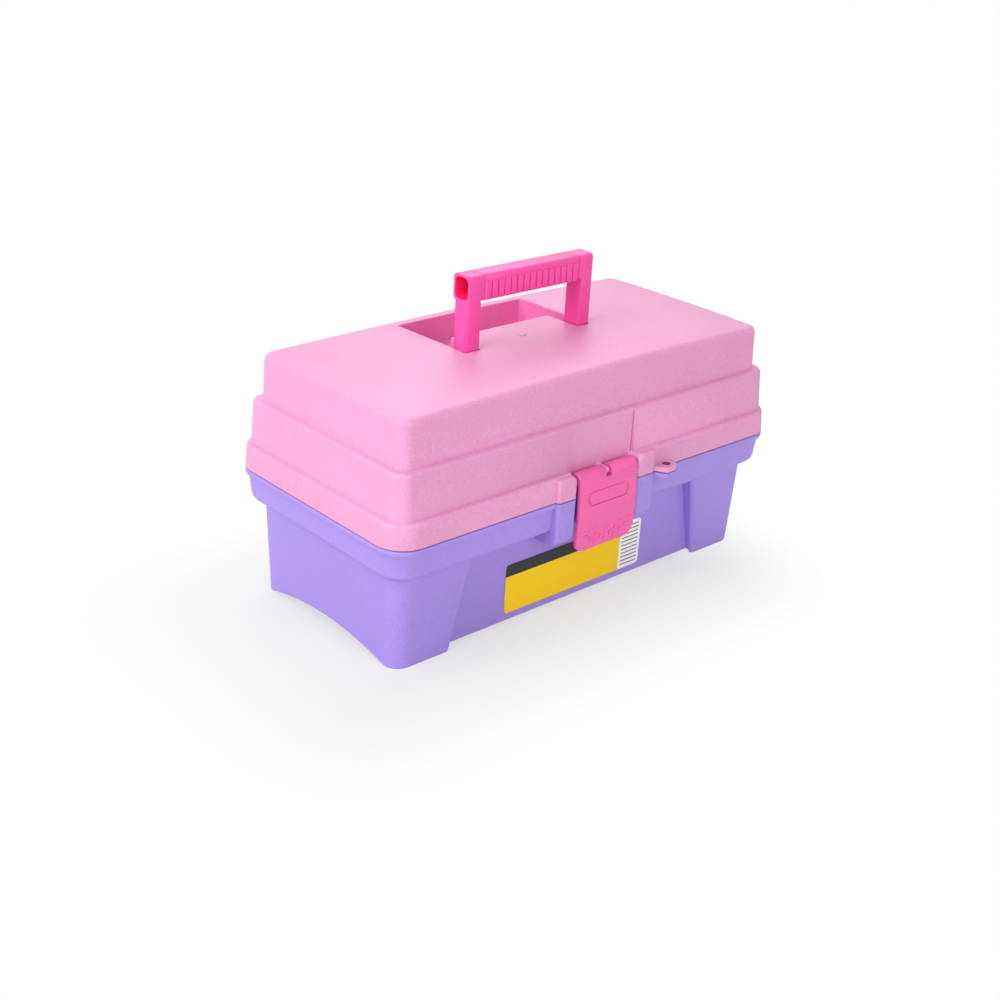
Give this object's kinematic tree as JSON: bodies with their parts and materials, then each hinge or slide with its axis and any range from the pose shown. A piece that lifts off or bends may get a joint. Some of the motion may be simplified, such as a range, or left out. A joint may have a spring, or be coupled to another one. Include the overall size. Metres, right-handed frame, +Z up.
{
  "type": "art supply box",
  "caption": "Moulded plastic carry box for art supplies: drafted tub, stepped hinged lid with folding handle, flip latch, rising trays on arms and a mirror under the lid.",
  "frame": {"origin": "centre of the footprint's bounding box, on the floor under the feet", "axes": "+X to the right along the length seen from the front, front (latch side) towards -Y, +Z up"},
  "size_m": [0.3556, 0.196, 0.2245],
  "materials": {
    "pink_plastic": "fine spark texture",
    "purple_plastic": "fine spark texture",
    "magenta_plastic": "satin moulded",
    "tray_plastic": "satin moulded",
    "steel": "drawn rod",
    "mirror": "silvered",
    "label": "printed film"
  },
  "bodies": {
    "tub": {"base_tub": "purple_plastic", "front_label": "label", "hinge_pin_left": "steel", "hinge_pin_right": "steel", "arm_base_pins": "steel"},
    "lid": {"lid_shell": "pink_plastic", "latch_pin": "steel"},
    "handle": {"carry_handle": "magenta_plastic"},
    "latch": {"front_latch": "magenta_plastic"},
    "arms": {"tray_arm_left": "magenta_plastic", "tray_arm_right": "magenta_plastic"},
    "low_tray": {"lower_tray": "tray_plastic", "lower_tray_arm_pins": "steel", "lower_tray_lid_pins": "steel"},
    "high_tray": {"upper_tray": "tray_plastic", "upper_tray_arm_pins": "steel", "upper_tray_lid_pins": "steel"},
    "mirror": {"mirror_frame": "purple_plastic", "mirror_glass": "mirror", "mirror_pins": "steel"}
  },
  "joints": [
    {"name": "lid_open", "type": "hinge", "parent": "tub", "child": "lid", "pos_m": [0, 0.0934, 0.0924], "axis": [-1, 0, 0], "range_deg": [0, 100]},
    {"name": "handle_fold", "type": "hinge", "parent": "lid", "child": "handle", "pos_m": [0, 0.0003, 0.1643], "axis": [-1, 0, 0], "range_deg": [0, 90]},
    {"name": "latch_flip", "type": "hinge", "parent": "lid", "child": "latch", "pos_m": [0, -0.0865, 0.1035], "axis": [-1, 0, 0], "range_deg": [0, 150]},
    {"name": "arms_swing", "type": "hinge", "parent": "tub", "child": "arms", "pos_m": [0, 0.0314, 0.087], "axis": [-1, 0, 0], "range_deg": [0, 100]},
    {"name": "low_tray_level", "type": "hinge", "parent": "lid", "child": "low_tray", "pos_m": [0, 0.04, 0.098], "axis": [-1, 0, 0], "range_deg": [-100, 0]},
    {"name": "high_tray_level", "type": "hinge", "parent": "lid", "child": "high_tray", "pos_m": [0, 0.007, 0.123], "axis": [-1, 0, 0], "range_deg": [-100, 0]},
    {"name": "mirror_tilt", "type": "hinge", "parent": "lid", "child": "mirror", "pos_m": [0, -0.061, 0.1635], "axis": [-1, 0, 0], "range_deg": [0, 25]}
  ],
  "couplings": [
    {"joint": "arms_swing", "follows": "lid_open", "ratio": 1},
    {"joint": "low_tray_level", "follows": "lid_open", "ratio": -1},
    {"joint": "high_tray_level", "follows": "lid_open", "ratio": -1}
  ]
}
